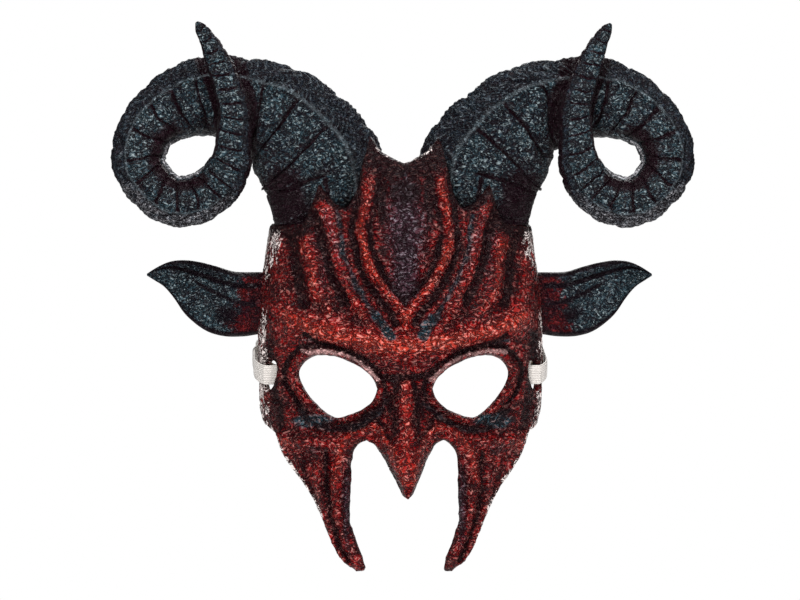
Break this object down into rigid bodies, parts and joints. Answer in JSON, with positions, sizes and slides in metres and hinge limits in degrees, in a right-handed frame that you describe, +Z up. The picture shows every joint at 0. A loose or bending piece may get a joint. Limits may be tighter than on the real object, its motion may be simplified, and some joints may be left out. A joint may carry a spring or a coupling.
{
  "type": "devil half mask",
  "caption": "Red lacquered papier-mache devil half-mask with curled ram horns, goat ears, a beak nose, two cheek prongs and an elastic head strap.",
  "frame": {"origin": "midway between the eyes, on the wearer's face", "axes": "+X towards the wearer's left, +Y to the back of the head, +Z up"},
  "size_m": [0.352, 0.2301, 0.3317],
  "materials": {
    "red_skin": "deep red lacquer with dark wash over pulp paper",
    "slate_horn": "slate blue lacquer with black-maroon grooves",
    "slate_ear": "slate teal lacquer",
    "board": "raw pressed board",
    "wood": "raw softwood",
    "steel": "zinc plated",
    "foam": "soft open foam",
    "elastic": "woven elastic",
    "slider": "moulded"
  },
  "bodies": {
    "mask": {"face_shell": "red_skin", "crown_plate": "board", "brow_pad": "foam", "cheek_pad_left": "foam", "cheek_pad_right": "foam", "horn_left": "slate_horn", "horn_plug_left": "wood", "ear_left": "slate_ear", "ear_peg_left": "wood", "horn_screw_left_1": "steel", "horn_washer_left_1": "steel", "horn_screw_left_2": "steel", "horn_washer_left_2": "steel", "horn_right": "slate_horn", "horn_plug_right": "wood", "ear_right": "slate_ear", "ear_peg_right": "wood", "horn_screw_right_1": "steel", "horn_washer_right_1": "steel", "horn_screw_right_2": "steel", "horn_washer_right_2": "steel"},
    "strap": {"strap_left": "elastic", "strap_right": "elastic"},
    "slider": {"strap_slider": "slider"}
  },
  "joints": [
    {"name": "strap_swing", "type": "hinge", "parent": "mask", "child": "strap", "pos_m": [0, 0.018, 0.007], "axis": [1, 0, 0], "range_deg": [-20, 12]},
    {"name": "slider_slide", "type": "slide", "parent": "strap", "child": "slider", "axis": [1, 0, 0], "range_m": [-0.018, 0.018]}
  ]
}
